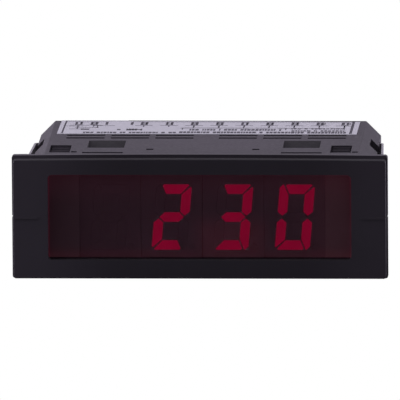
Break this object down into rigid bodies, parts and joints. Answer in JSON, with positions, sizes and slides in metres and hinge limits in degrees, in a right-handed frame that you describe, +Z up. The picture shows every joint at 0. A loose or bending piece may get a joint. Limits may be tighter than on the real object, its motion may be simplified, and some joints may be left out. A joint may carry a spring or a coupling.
{
  "type": "digital panel meter",
  "caption": "Slim rectangular panel meter with a red LED display, snap-in side springs, vented housing and pluggable screw terminals at the rear.",
  "frame": {"origin": "centre of the plane where the flange's rear face meets the panel", "axes": "+X right seen from the front, +Y back through the panel, +Z up"},
  "size_m": [0.072, 0.0581, 0.024],
  "materials": {
    "frame_black": "fine satin black moulding",
    "housing_grey": "dark violet-grey moulding, fine matt texture",
    "filter_red": "polished dark red transparent filter",
    "digit_black": "matt black digit face",
    "segment_lit": "glowing red epoxy",
    "segment_dark": "unlit red epoxy",
    "board_green": "green lacquered laminate",
    "pin_tin": "tinned pins",
    "contact_tin": "tinned sheet metal",
    "clamp_steel": "zinc-plated clamp",
    "screw_steel": "zinc-plated screw",
    "spring_steel": "bright rolled spring strip",
    "header_black": "black moulded header",
    "plug_black": "black moulded plug",
    "label_paper": "pale satin label stock",
    "potting_black": "potted transformer block",
    "can_sleeve": "shrink sleeve",
    "fuse_brown": "moulded fuse cap",
    "film_box": "yellow film capacitor box",
    "chip_black": "moulded chip epoxy"
  },
  "bodies": {
    "meter": {"front_frame": "frame_black", "housing": "housing_grey", "display_window": "filter_red", "type_label": "label_paper", "digit_body_1": "digit_black", "digit_body_2": "digit_black", "digit_body_3": "digit_black", "digit_body_4": "digit_black", "lit_segments": "segment_lit", "unlit_segments": "segment_dark", "decimal_points": "segment_dark", "digit_pins": "pin_tin", "display_board": "board_green", "main_board": "board_green", "board_link_pins": "pin_tin", "header_pins": "pin_tin", "supply_header": "header_black", "signal_header": "header_black", "transformer": "potting_black", "smoothing_capacitors": "can_sleeve", "fuse": "fuse_brown", "film_capacitor": "film_box", "voltage_regulator": "chip_black", "controller_chip": "chip_black", "bridge_rectifier": "chip_black"},
    "right_panel_spring": {"panel_spring_right": "spring_steel"},
    "left_panel_spring": {"panel_spring_left": "spring_steel"},
    "supply_plug": {"supply_plug_body": "plug_black", "supply_plug_clamps": "clamp_steel", "supply_plug_contacts": "contact_tin", "supply_plug_screws": "screw_steel"},
    "signal_plug": {"signal_plug_body": "plug_black", "signal_plug_clamps": "clamp_steel", "signal_plug_contacts": "contact_tin", "signal_plug_screws": "screw_steel"}
  },
  "joints": [
    {"name": "right_spring_flex", "type": "hinge", "parent": "meter", "child": "right_panel_spring", "pos_m": [0.0327, 0.0365, 0], "axis": [0, 0, -1], "range_deg": [0, 1.5], "stiffness_Nm_per_rad": 1},
    {"name": "left_spring_flex", "type": "hinge", "parent": "meter", "child": "left_panel_spring", "pos_m": [-0.0327, 0.0365, 0], "axis": [0, 0, 1], "range_deg": [0, 1.5], "stiffness_Nm_per_rad": 1},
    {"name": "supply_plug_pull", "type": "slide", "parent": "meter", "child": "supply_plug", "axis": [0, 1, 0], "range_m": [0, 0.009]},
    {"name": "signal_plug_pull", "type": "slide", "parent": "meter", "child": "signal_plug", "axis": [0, 1, 0], "range_m": [0, 0.009]}
  ]
}
